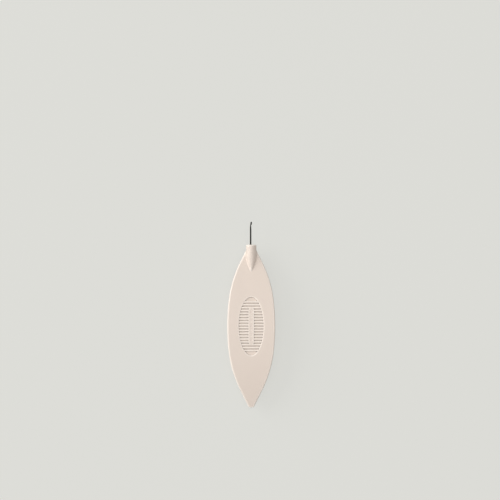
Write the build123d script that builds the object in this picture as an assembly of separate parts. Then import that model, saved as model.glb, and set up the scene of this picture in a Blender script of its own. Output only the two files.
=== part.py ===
"""Post-type tatting shuttle: two bowed blades on a winding post, with a steel crochet hook at one tip.

Millimetres. X runs across the shuttle, Y along it with the hook at +Y, and Z through its thickness.
The origin is the middle of the thread hole in the post, on the plane where the blades' tips meet.
"""

import os
from math import atan, cos, radians, sin, sqrt, tan

from build123d import *

# Body: overall sizes of the two blades together, without the hook
body_length = 65.1
body_width = 19.2
body_thickness = 9.5
tip_width = 2.0  # the blunt end, before its corners are rounded

# Blade outline: waist arc, shoulder arc and straight flank, each tangent to the next
waist_slope_share = 0.4425  # slope where the waist ends, as a share of the outline's mean slope
flank_slope_share = 1.869  # slope of the flank, as a share of the same mean slope
flank_start_share = 0.777  # where the flank starts, as a share of the half length

# Blade shell
blade_wall = 1.45  # at the middle
tip_wall = 1.0
tip_gap = 0.1  # slit between the closed tips
outer_rim_share = 0.5  # rounding of the outer rim, as a share of the tip's wall
inner_rim_share = 0.15  # rounding of the inner rim, as a share of the tip's wall
tip_corner_share = 1.65  # rounding of the tip's corners, as a share of the outer rim's

# Winding post between the blades
post_length = 9.0
post_width = 5.0
thread_hole_radius = 0.8
thread_hole_mouth = 0.25  # rounding where the thread leaves the hole
pad_height = 0.5  # raised seat inside each blade
pad_margin = 0.6  # seat standing out around the post
peg_radius = 0.8
peg_length = 0.9
peg_spacing = 5.0
peg_clearance = 0.03
peg_end_clearance = 0.1

# Grip on the face of each blade
grip_width = 10.4
grip_length = 23.8
grip_depth = 0.45
grip_edge_radius = 0.3
rib_pitch = 1.14
rib_radius = 0.42
rib_count = 18
strip_width = 2.3
strip_length = 15.0
strip_edge_radius = 0.12
dimple_radius = 0.95
dimple_depth = 0.14
dimple_pitch = 1.9
dimple_count = 7

# Boss that carries the hook, on the front blade only
boss_radius = 2.06
boss_height = 1.75  # axis above the plane where the tips meet
boss_barrel = 3.95
boss_point = 7.0  # from the barrel to the point where the boss sinks into the face
boss_point_shares = (0.9, 0.75, 0.55, 0.35, 0.2, 0.1)  # the point's sections, from the barrel down
boss_end_radius = 0.5
foot_radius = 0.5  # concave blend of the boss into the blade's face
foot_sink_share = 0.025  # how far the blend's edges sink into both, as a share of its radius
foot_place_shares = (0.06, 0.16, 0.3, 0.45, 0.6, 0.72, 0.83, 0.93, 1.0, 1.06)  # sections, point to rim
foot_fade_shares = (0.3, 0.5, 0.75, 1.0, 1.0, 1.0, 1.0, 0.65, 0.3, 0.15)  # the blend's radius at each
foot_toe_share = 0.8  # how far it runs out past the first section, as a share of its radius there
foot_drop_share = 0.3  # how far its two ends dip under the face, as a share of their radius

# Crochet hook: a steel wire set in the boss
wire_radius = 0.3
hook_reach = 9.2  # from the boss to the tip
wire_seat = 6.6  # depth of the wire in the boss, with its flattened end
anchor_length = 1.2  # flattened end, which keeps the hook from turning
anchor_width = 0.9
anchor_thickness = 0.34
wire_clearance = 0.02
head_lean = 0.24  # head's centre, off the wire's axis
head_neck = 1.9  # wire from its bend to the head's centre
throat_drop = 1.2  # bottom of the throat below the tip
throat_neck = 0.35  # steel left behind the throat
throat_ramp = 2.3
throat_radius = 0.1
lip_angle = 20.0

cut_overrun = 1.0

# Worked out from the sizes above
half_length = body_length / 2
half_width = body_width / 2
half_thickness = body_thickness / 2
tip_top = tip_gap / 2 + tip_wall
inner_top = half_thickness - blade_wall
pad_face = inner_top - pad_height
core_height = inner_top + (blade_wall - grip_depth) / 2  # middle of the wall under the grip
outer_rim_radius = outer_rim_share * tip_wall
inner_rim_radius = inner_rim_share * tip_wall
barrel_start = half_length - boss_barrel
point_start = barrel_start - boss_point
mean_slope = (half_width - tip_width / 2) / half_length
flank_turn = atan(flank_slope_share * mean_slope)
boss_overhang = boss_radius + outer_rim_radius - tip_width / 2
rim_meets_boss = half_length - boss_overhang / tan(flank_turn)
hook_tip = half_length + hook_reach
wire_end = half_length - wire_seat
wire_side = -head_lean  # the wire stands off the shuttle's middle, so that its head is on it


def bow_radius(crown, end):
    """Radius of the bow that stands at crown over the middle and at end over the tips."""
    drop = crown - end
    return (half_length**2 + drop**2) / (2 * drop)


outer_bow = bow_radius(half_thickness, tip_top)
inner_bow = bow_radius(inner_top, tip_gap / 2)
floor_bow = outer_bow - grip_depth


def bow_height(crown, radius, y):
    """Height at y of a bow of that radius whose crown is over the middle."""
    return crown - radius + sqrt(radius**2 - y**2)


def face_height(y):
    """Height of the front blade's face at y."""
    return bow_height(half_thickness, outer_bow, y)


def bow(crown, radius):
    """Round bar across the shuttle whose top is a bow."""
    return Pos(0, 0, crown - radius) * Rot(0, 90, 0) * Cylinder(radius, body_width + cut_overrun)


def blade_outline():
    """Plan of a blade: a pointed oval with blunt tips."""
    waist_turn = atan(waist_slope_share * mean_slope)
    flank_start = flank_start_share * half_length
    flank_half_width = tip_width / 2 + (half_length - flank_start) * tan(flank_turn)
    inset = half_width - flank_half_width

    # Two tangent arcs that reach flank_start along Y and inset along X
    waist_y = sin(waist_turn)
    waist_x = 1 - cos(waist_turn)
    shoulder_y = sin(flank_turn) - sin(waist_turn)
    shoulder_x = cos(waist_turn) - cos(flank_turn)
    spread = waist_y * shoulder_x - shoulder_y * waist_x
    waist_radius = (flank_start * shoulder_x - inset * shoulder_y) / spread
    shoulder_radius = (inset * waist_y - flank_start * waist_x) / spread

    waist_centre = Vector(half_width - waist_radius, 0)
    waist_end = waist_centre + waist_radius * Vector(cos(waist_turn), sin(waist_turn))
    shoulder_centre = waist_end - shoulder_radius * Vector(cos(waist_turn), sin(waist_turn))
    middle_turn = (waist_turn + flank_turn) / 2
    shoulder_middle = shoulder_centre + shoulder_radius * Vector(cos(middle_turn), sin(middle_turn))
    shoulder_end = Vector(flank_half_width, flank_start)
    tip_corner = Vector(tip_width / 2, half_length)

    waist = ThreePointArc((waist_end.X, -waist_end.Y), (half_width, 0), waist_end)
    shoulder = ThreePointArc(waist_end, shoulder_middle, shoulder_end)
    flank = Line(shoulder_end, tip_corner)
    right_side = Curve() + [waist, shoulder, flank, *(mirror(e, Plane.XZ) for e in (shoulder, flank))]
    hook_end = Line((-tip_width / 2, half_length), (tip_width / 2, half_length))
    outline = make_face(
        right_side.edges() + mirror(right_side, Plane.YZ).edges()
        + [hook_end.edge(), mirror(hook_end, Plane.XZ).edge()]
    )
    corners = outline.vertices().sort_by(Axis.Y)
    return fillet(corners[:2] + corners[-2:], tip_corner_share * outer_rim_radius)


def bowed_faces(shell):
    """The shell's inner and outer faces."""
    return shell.faces().sort_by(SortBy.AREA)[-2:].sort_by(Axis.Z)


def blade_shell():
    """Bowed shell with rounded rims, thinner towards its tips, above the plane where the tips meet."""
    plan = extrude(blade_outline(), amount=body_thickness)
    shell = (plan & bow(half_thickness, outer_bow)) - bow(inner_top, inner_bow)
    shell = fillet(bowed_faces(shell)[1].edges(), outer_rim_radius)
    return fillet(bowed_faces(shell)[0].edges(), inner_rim_radius)


def cut_grip_recess(blade):
    """Sink the oval of the grip into the blade's face and soften its edge."""
    floor_plan = Ellipse(grip_width / 2 - grip_edge_radius, grip_length / 2 - grip_edge_radius)
    blade -= extrude(floor_plan, amount=body_thickness) - bow(half_thickness - grip_depth, floor_bow)
    edge = [wire for face in blade.faces() for wire in face.inner_wires()][0]
    return fillet(edge.edges(), grip_edge_radius)


def grip_ribs():
    """Round ribs across the recess, following the blade's bow."""
    oval = extrude(Ellipse(grip_width / 2, grip_length / 2), amount=body_thickness)
    bow_centre = half_thickness - outer_bow
    ribs = []
    for i in range(rib_count):
        turn = (i - (rib_count - 1) / 2) * rib_pitch / floor_bow
        rib = Rot(0, 90, 0) * Cylinder(rib_radius, body_width)
        ribs.append(Pos(0, floor_bow * sin(turn), bow_centre + floor_bow * cos(turn)) * rib)
    return (Part() + ribs) & oval


def centre_strip():
    """Plain raised strip along the middle of the grip, with a row of dimples."""
    slot = Pos(0, 0, core_height) * Rot(0, 0, 90) * SlotOverall(strip_length, strip_width)
    strip_bow = floor_bow + rib_radius
    strip_top = half_thickness - grip_depth + rib_radius
    strip = extrude(slot, amount=body_thickness) & bow(strip_top, strip_bow)
    top = strip.faces().sort_by(Axis.Z)[-1]
    strip = fillet(top.edges(), strip_edge_radius)
    for i in range(dimple_count):
        y = (i - (dimple_count - 1) / 2) * dimple_pitch
        z = bow_height(strip_top, strip_bow, y) - dimple_depth + dimple_radius
        strip -= Pos(0, y, z) * Sphere(dimple_radius)
    return strip


def peg_places():
    """The pegs' distances along the shuttle."""
    return -peg_spacing / 2, peg_spacing / 2


def post_plan(margin=0):
    """Plan of the post, or of its seat, with round ends."""
    return Rot(0, 0, 90) * SlotOverall(post_length + 2 * margin, post_width + 2 * margin)


def plain_blade():
    """A blade with its grip outside and the post's seat inside, without a boss."""
    blade = cut_grip_recess(blade_shell()) + grip_ribs() + centre_strip()
    blade += extrude(Pos(0, 0, pad_face) * post_plan(pad_margin), amount=core_height - pad_face)
    socket_depth = peg_length + peg_end_clearance
    for y in peg_places():
        socket = Circle(peg_radius + peg_clearance)
        blade -= extrude(Pos(0, y, pad_face) * socket, amount=socket_depth)
    return blade


def along_y(radius, length, start):
    """Round bar along the shuttle at the boss's height, from start towards +Y."""
    return Pos(0, start + length / 2, boss_height) * Rot(90, 0, 0) * Cylinder(radius, length)


def boss_circle(y):
    """Radius of the boss at y, and the height of its centre: its point swells as a parabola into the barrel."""
    size_share = 1 - max(0, (barrel_start - y) / boss_point) ** 2
    point_height = face_height(point_start)
    return size_share * boss_radius, point_height + size_share * (boss_height - point_height)


def boss_section(y):
    radius, height = boss_circle(y)
    return Plane((0, y, height), x_dir=(1, 0, 0), z_dir=(0, -1, 0)) * Circle(radius).face()


def foot_section(y, blend):
    """Section of the boss's foot at y: concave sides of radius blend, sunk a little into boss and blade."""
    radius, height = boss_circle(y)
    face = face_height(y)
    rise = face + blend - height
    reach = sqrt((radius + blend) ** 2 - rise**2)
    sink = foot_sink_share * blend
    centre = Vector(reach - sink, y, face + blend - sink)
    inwards = Vector(-reach, 0, -rise).normalized()
    toe = centre - Vector(0, 0, blend)
    middle = centre + blend * (inwards + Vector(0, 0, -1)).normalized()
    head = centre + blend * inwards
    root = toe - Vector(0, 0, tip_wall / 2)
    side = ThreePointArc(toe, middle, head)
    across = Curve() + [side, mirror(side, Plane.YZ), Line(toe, root), mirror(Line(toe, root), Plane.YZ)]
    for corner in (head, root):
        across += Line(corner, Vector(-corner.X, corner.Y, corner.Z))
    return make_face(across.edges())


def boss_foot():
    """Concave blend where the boss stands on the blade, fading out at the point and where the rim turns down."""
    sections = []
    for place, fade in zip(foot_place_shares, foot_fade_shares):
        y = point_start + place * (rim_meets_boss - point_start)
        sections.append(foot_section(y, fade * foot_radius))
    toe_radius = foot_fade_shares[0] * foot_radius
    toe = Pos(0, -foot_toe_share * toe_radius, -foot_drop_share * toe_radius) * sections[0]
    heel = Pos(0, 0, -foot_drop_share * foot_fade_shares[-1] * foot_radius) * sections[-1]
    return loft([toe, *sections[:-1], heel])


def hook_boss():
    """Round nose that holds the wire and fades into the blade, cut flat where it meets the other tip."""
    barrel = along_y(boss_radius, boss_barrel, barrel_start)
    barrel = fillet(barrel.edges().sort_by(Axis.Y)[-1], boss_end_radius)
    sections = [boss_section(point_start + share * boss_point) for share in (1, *boss_point_shares)]
    boss = barrel + loft([*sections, Vertex(0, point_start, face_height(point_start))])
    return split(boss, bisect_by=Plane.XY.offset(tip_gap / 2), keep=Keep.TOP)


def wire_anchor(clearance=0):
    """Flattened end of the wire, or the room for it with a clearance."""
    sizes = (anchor_width, anchor_length, anchor_thickness)
    return Pos(0, wire_end + anchor_length / 2, boss_height) * Box(*(size + 2 * clearance for size in sizes))


def wire_hole():
    """Room for the wire in the boss, open at the boss's end."""
    start = wire_end + anchor_length
    bore = along_y(wire_radius + wire_clearance, half_length - start + cut_overrun, start)
    return Pos(wire_side, 0, 0) * (bore + wire_anchor(wire_clearance))


def front_blade(blade):
    return blade + hook_boss() + boss_foot() - wire_hole()


def back_blade(blade):
    return mirror(blade, Plane.XY)


def winding_post():
    """Obround post with two pegs at each end and the thread hole across it."""
    post = extrude(post_plan(), amount=pad_face, both=True)
    post -= Rot(0, 90, 0) * Cylinder(thread_hole_radius, post_width + cut_overrun)
    mouths = post.edges().filter_by(GeomType.CIRCLE).group_by(SortBy.RADIUS)[0]
    post = fillet(mouths, thread_hole_mouth)
    for y in peg_places():
        post += Pos(0, y, 0) * Cylinder(peg_radius, 2 * (pad_face + peg_length))
    return post


def throat_cutter():
    """Plan of the throat: under the lip, round its bottom and down a long ramp back to the wire."""
    lean_share = (head_neck + wire_radius - throat_drop) / head_neck
    throat_x = lean_share * head_lean - wire_radius + throat_neck
    outside = 3 * wire_radius
    bottom = Vector(throat_x, hook_tip - throat_drop)
    lip = bottom + Vector(outside, -outside * tan(radians(lip_angle)))
    ramp_end = Vector(wire_radius, hook_tip - throat_drop - throat_ramp)
    past_ramp = ramp_end + (ramp_end - bottom) * (wire_radius / throat_ramp)
    plan = make_face(Polyline(bottom, lip, Vector(lip.X, past_ramp.Y), past_ramp, close=True))
    deepest = plan.vertices().sort_by_distance(bottom)[0]
    return fillet(deepest, throat_radius)


def crochet_hook():
    """Round wire, bent near its end to a domed head, with the throat cut into the +X side."""
    head_y = hook_tip - wire_radius
    bend_y = head_y - head_neck
    start = wire_end + anchor_length
    hook = wire_anchor() + along_y(wire_radius, bend_y - start, start)
    bend = Vector(0, bend_y, boss_height)
    head = Vector(head_lean, head_y, boss_height)
    neck = head - bend
    neck_plane = Plane(origin=bend, z_dir=neck)
    hook += extrude(neck_plane * Circle(wire_radius), amount=neck.length)
    hook += Pos(*bend) * Sphere(wire_radius)
    hook += Pos(*head) * Sphere(wire_radius)
    cutter = extrude(Pos(0, 0, boss_height) * throat_cutter(), amount=2 * wire_radius, both=True)
    return Pos(wire_side, 0, 0) * (hook - cutter)


def write_parts():
    """Write each piece to its own file."""
    os.makedirs("parts", exist_ok=True)
    blade = plain_blade()
    nodes = {
        "front_blade": front_blade(blade),
        "back_blade": back_blade(blade),
        "winding_post": winding_post(),
        "crochet_hook": crochet_hook(),
    }
    for name, shape in nodes.items():
        export_step(shape, f"parts/{name}.step")


write_parts()
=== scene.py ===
import math

import bpy
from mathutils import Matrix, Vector


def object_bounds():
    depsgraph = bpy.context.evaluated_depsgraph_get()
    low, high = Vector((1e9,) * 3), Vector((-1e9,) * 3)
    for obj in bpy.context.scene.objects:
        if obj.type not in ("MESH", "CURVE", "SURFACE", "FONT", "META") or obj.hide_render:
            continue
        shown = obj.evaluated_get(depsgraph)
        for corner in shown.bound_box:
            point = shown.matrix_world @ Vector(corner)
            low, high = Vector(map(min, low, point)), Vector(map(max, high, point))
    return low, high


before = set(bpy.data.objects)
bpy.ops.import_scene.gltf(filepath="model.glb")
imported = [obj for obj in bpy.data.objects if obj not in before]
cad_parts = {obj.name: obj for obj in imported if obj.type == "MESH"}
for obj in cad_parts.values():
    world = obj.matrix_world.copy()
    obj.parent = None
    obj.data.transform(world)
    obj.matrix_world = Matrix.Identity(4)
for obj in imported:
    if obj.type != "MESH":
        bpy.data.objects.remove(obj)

# Looks of a tatting shuttle: the finishes of its four nodes, a pale floor, soft light and the camera.
# Metres. X runs across the shuttle, Y along it towards the hook, and Z up through its thickness.

cad_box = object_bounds()
MM = 0.001

# The photograph's framing: its whole width at the shuttle, and the place of the body's middle in it
FRAME_PX = 500
MM_PER_PX = 0.4005
BODY_MIDDLE_PX = (251.25, 326.05)
CAMERA_HEIGHT = 2.0
CAMERA_REACH = 10.0
SENSOR_WIDTH = 36.0

# Colours, linear
PLASTIC = (0.832, 0.714, 0.622)
# Painted highlight on convex edges and rib crests, with a little edge wear
PLASTIC_WORN_AND_HIGHLIT = (0.980, 0.880, 0.790)
# Painted shade, darkening grooves and recesses
PLASTIC_PAINTED_SHADE = (0.160, 0.100, 0.070)
STEEL = (0.012, 0.011, 0.009)
STEEL_WORN = (0.100, 0.095, 0.088)
CARD = (0.738, 0.738, 0.700)

# Most of a noise lies in this span, which is spread over the whole effect
NOISE_SPAN = (0.3, 0.7)
PLAIN_DETAIL = 2
FINE_DETAIL = 3

# Plastic: a flow of colour, a painted highlight with a little wear at the edges and rib crests, painted
# shade in recesses, and a surface with grain and slow waves. The painted highlight and the painted shade
# start at the first openness and are full at the second.
FLOW_SIZE = 6 * MM
FLOW_SHARE = 0.35
FLOW_DARKER = 0.95
WEAR_AND_HIGHLIGHT_REACH = 0.5 * MM
WEAR_AND_HIGHLIGHT_OPENNESS = (0.98, 0.93)
PAINTED_SHADE_REACH = 0.4 * MM
PAINTED_SHADE_OPENNESS = (0.76, 0.42)
OPENNESS_SAMPLES = 16
SATIN_SIZE = 0.4 * MM
SATIN_ROUGHNESS = (0.36, 0.46)
GRAIN_SIZE = 0.08 * MM
GRAIN_DEPTH = 0.004 * MM
GRAIN_STRENGTH = 0.12
WAVE_SIZE = 4 * MM
WAVE_DEPTH = 0.02 * MM
WAVE_STRENGTH = 0.25
PLASTIC_IOR = 1.5

# Steel: fine lines along the wire, bright edges, and patches of polish
LINE_SIZE = 0.03 * MM
LINE_STRETCH = (1, 40, 1)
LINE_LIGHTER = 1.6
LINE_DEPTH = 0.003 * MM
LINE_STRENGTH = 0.3
BRIGHT_REACH = 0.08 * MM
BRIGHT_OPENNESS = (0.85, 0.6)
POLISH_SIZE = 0.2 * MM
POLISH_ROUGHNESS = (0.24, 0.36)

# Floor: a square of dull card, which shows this share of the shadow that falls on it
FLOOR_SIZE = 6.0
CARD_ROUGHNESS = 0.9
CARD_SPECULAR = 0.1
SHADOW_SHARE = 0.2

# Light: a level all round, a soft box overhead and a low soft box on the left.
# A lamp's height is its angle above the floor, and its turn is from -X towards +Y.
WORLD_LEVEL = 0.31
LAMP_DISTANCE = 2.0
LAMP_SIZE = 1.6
OVERHEAD_LEVEL = 0.38
OVERHEAD_HEIGHT = math.radians(89)
SIDE_LEVEL = 0.74
SIDE_HEIGHT = math.radians(26)
SIDE_TURN = math.radians(20)


class Nodes:
    """A new material's node tree, with short calls to add and join nodes."""

    def __init__(self, name):
        self.material = bpy.data.materials.new(name)
        self.material.use_nodes = True
        self.tree = self.material.node_tree
        self.tree.nodes.clear()
        self.shader = self.add("ShaderNodeBsdfPrincipled")
        self.output = self.add("ShaderNodeOutputMaterial")
        self.join(self.shader.outputs["BSDF"], self.output.inputs["Surface"])
        self.object_place = self.add("ShaderNodeTexCoord").outputs["Object"]

    def add(self, kind, **settings):
        node = self.tree.nodes.new(kind)
        for key, value in settings.items():
            setattr(node, key, value)
        return node

    def join(self, source, target):
        self.tree.links.new(source, target)

    def noise(self, size, detail=PLAIN_DETAIL, stretch=(1, 1, 1)):
        """Noise with features of that size, in metres, drawn out by stretch."""
        mapping = self.add("ShaderNodeMapping")
        mapping.inputs["Scale"].default_value = [1 / (size * share) for share in stretch]
        self.join(self.object_place, mapping.inputs["Vector"])
        noise = self.add("ShaderNodeTexNoise")
        noise.inputs["Scale"].default_value = 1.0
        noise.inputs["Detail"].default_value = detail
        self.join(mapping.outputs["Vector"], noise.inputs["Vector"])
        return noise.outputs["Fac"]

    def ramp(self, source, low, high, start=0.0, end=1.0):
        """Source from low to high, mapped to start to end."""
        node = self.add("ShaderNodeMapRange")
        node.inputs["From Min"].default_value = low
        node.inputs["From Max"].default_value = high
        node.inputs["To Min"].default_value = start
        node.inputs["To Max"].default_value = end
        self.join(source, node.inputs["Value"])
        return node.outputs["Result"]

    def mix(self, share, base, other):
        """Base colour, going to the other colour with share. Each is a tuple or a socket."""
        node = self.add("ShaderNodeMix", data_type="RGBA")
        self.join(share, node.inputs["Factor"])
        for name, colour in (("A", base), ("B", other)):
            target = next(s for s in node.inputs if s.name == name and s.type == "RGBA")
            if isinstance(colour, tuple):
                target.default_value = (*colour, 1)
            else:
                self.join(colour, target)
        return next(s for s in node.outputs if s.type == "RGBA")

    def openness(self, reach, inside=False):
        """Share of the surroundings that is open within reach, outside the surface or inside it."""
        node = self.add("ShaderNodeAmbientOcclusion", inside=inside, only_local=True,
                        samples=OPENNESS_SAMPLES)
        node.inputs["Distance"].default_value = reach
        return node.outputs["AO"]

    def bump(self, height, strength, depth, after=None):
        """Normal of a surface with that relief, on top of the relief in after."""
        node = self.add("ShaderNodeBump")
        node.inputs["Strength"].default_value = strength
        node.inputs["Distance"].default_value = depth
        self.join(height, node.inputs["Height"])
        if after is not None:
            self.join(after, node.inputs["Normal"])
        return node.outputs["Normal"]


def scaled(colour, factor):
    """The colour, lighter or darker by factor."""
    return tuple(channel * factor for channel in colour)


def plastic(name):
    """Satin moulded plastic: a faint flow of colour, painted shade in recesses, a painted highlight with a
    little wear on edges and rib crests, and a fine grain.
    """
    nodes = Nodes(name)
    inputs = nodes.shader.inputs
    flow = nodes.ramp(nodes.noise(FLOW_SIZE, FINE_DETAIL), *NOISE_SPAN, 0, FLOW_SHARE)
    base = nodes.mix(flow, PLASTIC, scaled(PLASTIC, FLOW_DARKER))
    # Painted highlight, with a little wear, where the surface is thin inside: convex edges and rib crests
    wear_and_highlight = nodes.ramp(nodes.openness(WEAR_AND_HIGHLIGHT_REACH, inside=True), *WEAR_AND_HIGHLIGHT_OPENNESS)
    worn_and_highlit = nodes.mix(wear_and_highlight, base, PLASTIC_WORN_AND_HIGHLIT)
    # Painted shade: darker where the surface is closed in outside, in grooves and recesses
    painted_shade = nodes.ramp(nodes.openness(PAINTED_SHADE_REACH), *PAINTED_SHADE_OPENNESS)
    nodes.join(nodes.mix(painted_shade, worn_and_highlit, PLASTIC_PAINTED_SHADE), inputs["Base Color"])
    nodes.join(nodes.ramp(nodes.noise(SATIN_SIZE), *NOISE_SPAN, *SATIN_ROUGHNESS), inputs["Roughness"])
    grain = nodes.bump(nodes.noise(GRAIN_SIZE), GRAIN_STRENGTH, GRAIN_DEPTH)
    waves = nodes.bump(nodes.noise(WAVE_SIZE), WAVE_STRENGTH, WAVE_DEPTH, after=grain)
    nodes.join(waves, inputs["Normal"])
    inputs["IOR"].default_value = PLASTIC_IOR
    return nodes.material


def steel(name):
    """Drawn wire, darkened and lightly polished, with fine lines along it."""
    nodes = Nodes(name)
    inputs = nodes.shader.inputs
    lines = nodes.noise(LINE_SIZE, FINE_DETAIL, LINE_STRETCH)
    base = nodes.mix(nodes.ramp(lines, *NOISE_SPAN), STEEL, scaled(STEEL, LINE_LIGHTER))
    bright = nodes.ramp(nodes.openness(BRIGHT_REACH, inside=True), *BRIGHT_OPENNESS)
    nodes.join(nodes.mix(bright, base, STEEL_WORN), inputs["Base Color"])
    inputs["Metallic"].default_value = 1.0
    nodes.join(nodes.ramp(nodes.noise(POLISH_SIZE), *NOISE_SPAN, *POLISH_ROUGHNESS), inputs["Roughness"])
    nodes.join(nodes.bump(lines, LINE_STRENGTH, LINE_DEPTH), inputs["Normal"])
    return nodes.material


def dress(node, material):
    """Give a node of the frame its finish."""
    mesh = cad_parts[node].data
    mesh.materials.clear()
    mesh.materials.append(material)


def make_camera():
    """Straight above the shuttle, with the photograph's framing."""
    camera = bpy.data.cameras.new("camera")
    camera.sensor_width = SENSOR_WIDTH
    camera.lens = SENSOR_WIDTH * CAMERA_HEIGHT / (FRAME_PX * MM_PER_PX * MM)
    camera.clip_end = CAMERA_REACH
    holder = bpy.data.objects.new("camera", camera)
    bpy.context.scene.collection.objects.link(holder)
    x = (FRAME_PX / 2 - BODY_MIDDLE_PX[0]) * MM_PER_PX * MM
    y = (BODY_MIDDLE_PX[1] - FRAME_PX / 2) * MM_PER_PX * MM
    holder.location = (x, y, CAMERA_HEIGHT)
    bpy.context.scene.camera = holder


def card_material():
    """Pale card that keeps a share of the shadow that falls on it."""
    nodes = Nodes("pale_card")
    inputs = nodes.shader.inputs
    floor_level = (WORLD_LEVEL + OVERHEAD_LEVEL * math.sin(OVERHEAD_HEIGHT)
                   + SIDE_LEVEL * math.sin(SIDE_HEIGHT))
    inputs["Base Color"].default_value = (*scaled(CARD, 1 / floor_level), 1)
    inputs["Roughness"].default_value = CARD_ROUGHNESS
    inputs["Specular IOR Level"].default_value = CARD_SPECULAR
    glow = nodes.add("ShaderNodeEmission")
    glow.inputs["Color"].default_value = (*CARD, 1)
    blend = nodes.add("ShaderNodeMixShader")
    seen = nodes.ramp(nodes.add("ShaderNodeLightPath").outputs["Is Camera Ray"], 0, 1, 0, 1 - SHADOW_SHARE)
    nodes.join(seen, blend.inputs["Fac"])
    nodes.join(nodes.shader.outputs["BSDF"], blend.inputs[1])
    nodes.join(glow.outputs["Emission"], blend.inputs[2])
    nodes.join(blend.outputs["Shader"], nodes.output.inputs["Surface"])
    return nodes.material


def make_floor():
    """Plain pale floor under the shuttle."""
    half = FLOOR_SIZE / 2
    floor_z = cad_box[0].z
    corners = [(x, y, floor_z) for x, y in ((-half, -half), (half, -half), (half, half), (-half, half))]
    mesh = bpy.data.meshes.new("floor")
    mesh.from_pydata(corners, [], [(0, 1, 2, 3)])
    mesh.materials.append(card_material())
    floor = bpy.data.objects.new("floor", mesh)
    bpy.context.scene.collection.objects.link(floor)


def lamp(name, level, height, turn=0.0):
    """Soft box that faces the shuttle and lights a white surface that faces it to level."""
    flat = LAMP_DISTANCE * math.cos(height)
    place = Vector((-flat * math.cos(turn), flat * math.sin(turn), LAMP_DISTANCE * math.sin(height)))
    light = bpy.data.lights.new(name, "AREA")
    light.size = LAMP_SIZE
    light.energy = level * math.pi**2 * LAMP_DISTANCE**2
    holder = bpy.data.objects.new(name, light)
    holder.location = place
    holder.rotation_euler = (-place).to_track_quat("-Z", "Y").to_euler()
    holder.visible_camera = False
    bpy.context.scene.collection.objects.link(holder)


def make_light():
    """Pale surroundings, and soft light from overhead and the left."""
    world = bpy.data.worlds.new("studio")
    world.use_nodes = True
    background = world.node_tree.nodes["Background"]
    background.inputs["Color"].default_value = (1, 1, 1, 1)
    background.inputs["Strength"].default_value = WORLD_LEVEL
    bpy.context.scene.world = world
    lamp("overhead", OVERHEAD_LEVEL, OVERHEAD_HEIGHT)
    lamp("side", SIDE_LEVEL, SIDE_HEIGHT, SIDE_TURN)


bpy.context.scene.view_settings.view_transform = "Standard"
make_camera()
make_floor()
make_light()
shell = plastic("blade_plastic")
dress("front_blade", shell)
dress("back_blade", shell)
dress("winding_post", plastic("post_plastic"))
dress("crochet_hook", steel("hook_steel"))
